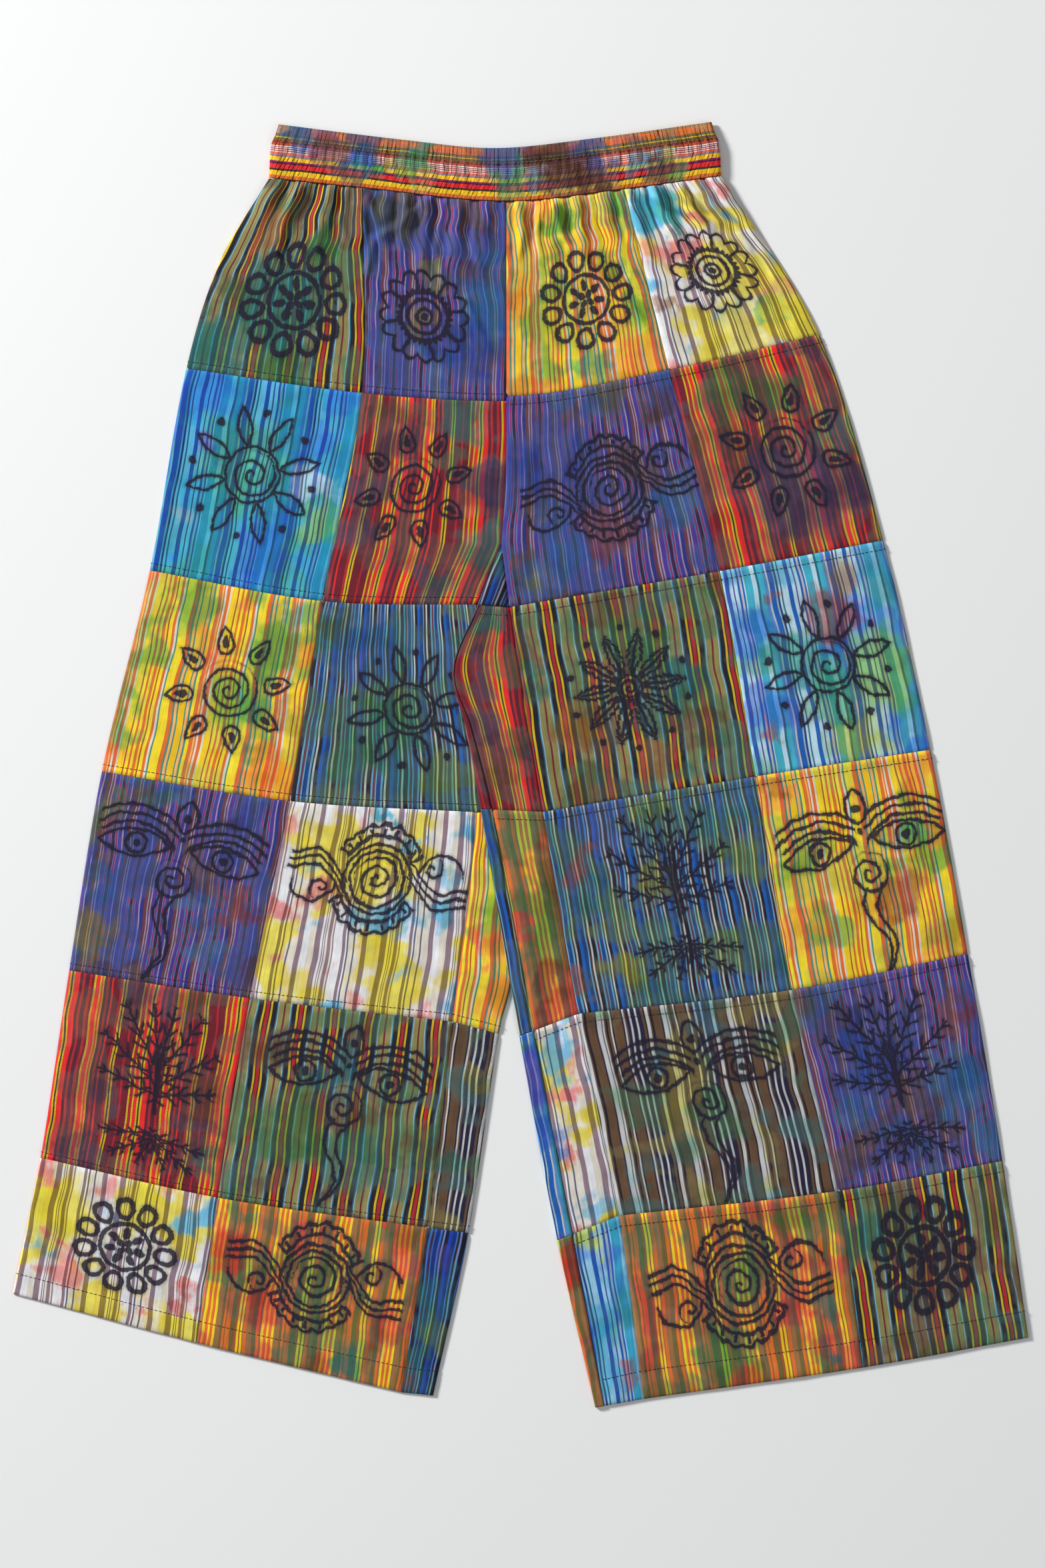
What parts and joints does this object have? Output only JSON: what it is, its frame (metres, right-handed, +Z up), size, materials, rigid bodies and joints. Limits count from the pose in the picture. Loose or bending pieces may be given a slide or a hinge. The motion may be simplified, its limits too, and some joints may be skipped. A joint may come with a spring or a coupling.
{
  "type": "patchwork pants",
  "caption": "Long wide patchwork pants of handwoven striped, dyed and block-printed cotton with a shirred elastic waist, laid flat with the front up.",
  "frame": {"origin": "centre of the bounding box, on the surface that the pants lie on", "axes": "+Y towards the waist, +Z up out of the front, +X to the right of someone looking down at the front"},
  "size_m": [0.7898, 0.9999, 0.0089],
  "materials": {
    "cloth_olive": "handwoven cotton, olive and black with red, yellow and light blue stripes",
    "cloth_purple": "handwoven cotton, purple with white, blue and maroon stripes",
    "cloth_yellow": "handwoven cotton, yellow with orange, white and green stripes",
    "cloth_white": "handwoven cotton, white with mauve-grey stripes",
    "cloth_turquoise": "handwoven cotton, turquoise with blue and white stripes",
    "cloth_red": "handwoven cotton, dark red with yellow and bright red stripes",
    "cloth_navy": "handwoven cotton, navy with blue, black and white stripes",
    "cloth_brown": "handwoven cotton, brown with black and white stripes",
    "cloth_orange": "handwoven cotton, ochre with orange and yellow stripes",
    "cloth_band": "shirred handwoven cotton over elastic, red, orange and yellow stripes with blue dye"
  },
  "bodies": {
    "root": {"back_left_row1_inner": "cloth_navy", "back_left_row1_outer": "cloth_yellow", "back_left_row2_inner": "cloth_olive", "back_left_row2_outer": "cloth_white", "back_left_row3_inner": "cloth_yellow", "back_left_row3_outer": "cloth_navy", "back_left_row4_inner": "cloth_turquoise", "back_left_row4_outer": "cloth_red", "back_left_row5_inner": "cloth_white", "back_left_row5_outer": "cloth_purple", "back_left_row6_inner": "cloth_olive", "back_left_row6_outer": "cloth_red", "back_right_row1_inner": "cloth_olive", "back_right_row1_outer": "cloth_red", "back_right_row2_inner": "cloth_turquoise", "back_right_row2_outer": "cloth_purple", "back_right_row3_inner": "cloth_red", "back_right_row3_outer": "cloth_white", "back_right_row4_inner": "cloth_navy", "back_right_row4_outer": "cloth_olive", "back_right_row5_inner": "cloth_turquoise", "back_right_row5_outer": "cloth_brown", "back_right_row6_inner": "cloth_orange", "back_right_row6_outer": "cloth_navy", "front_left_row1_inner": "cloth_purple", "front_left_row1_outer": "cloth_olive", "front_left_row2_inner": "cloth_red", "front_left_row2_outer": "cloth_turquoise", "front_left_row3_inner": "cloth_navy", "front_left_row3_outer": "cloth_yellow", "front_left_row4_inner": "cloth_white", "front_left_row4_outer": "cloth_purple", "front_left_row4_strip": "cloth_yellow", "front_left_row5_inner": "cloth_olive", "front_left_row5_outer": "cloth_red", "front_left_row5_strip": "cloth_brown", "front_left_row6_inner": "cloth_orange", "front_left_row6_outer": "cloth_white", "front_left_row6_strip": "cloth_navy", "front_right_row1_inner": "cloth_yellow", "front_right_row1_outer": "cloth_white", "front_right_row2_gusset": "cloth_navy", "front_right_row2_inner": "cloth_purple", "front_right_row2_outer": "cloth_red", "front_right_row3_inner": "cloth_olive", "front_right_row3_outer": "cloth_turquoise", "front_right_row3_strip": "cloth_red", "front_right_row4_inner": "cloth_navy", "front_right_row4_outer": "cloth_yellow", "front_right_row4_strip": "cloth_orange", "front_right_row5_inner": "cloth_brown", "front_right_row5_outer": "cloth_purple", "front_right_row5_strip": "cloth_white", "front_right_row6_inner": "cloth_orange", "front_right_row6_outer": "cloth_olive", "front_right_row6_strip": "cloth_turquoise", "waistband_back": "cloth_band", "waistband_front": "cloth_band"}
  },
  "joints": []
}
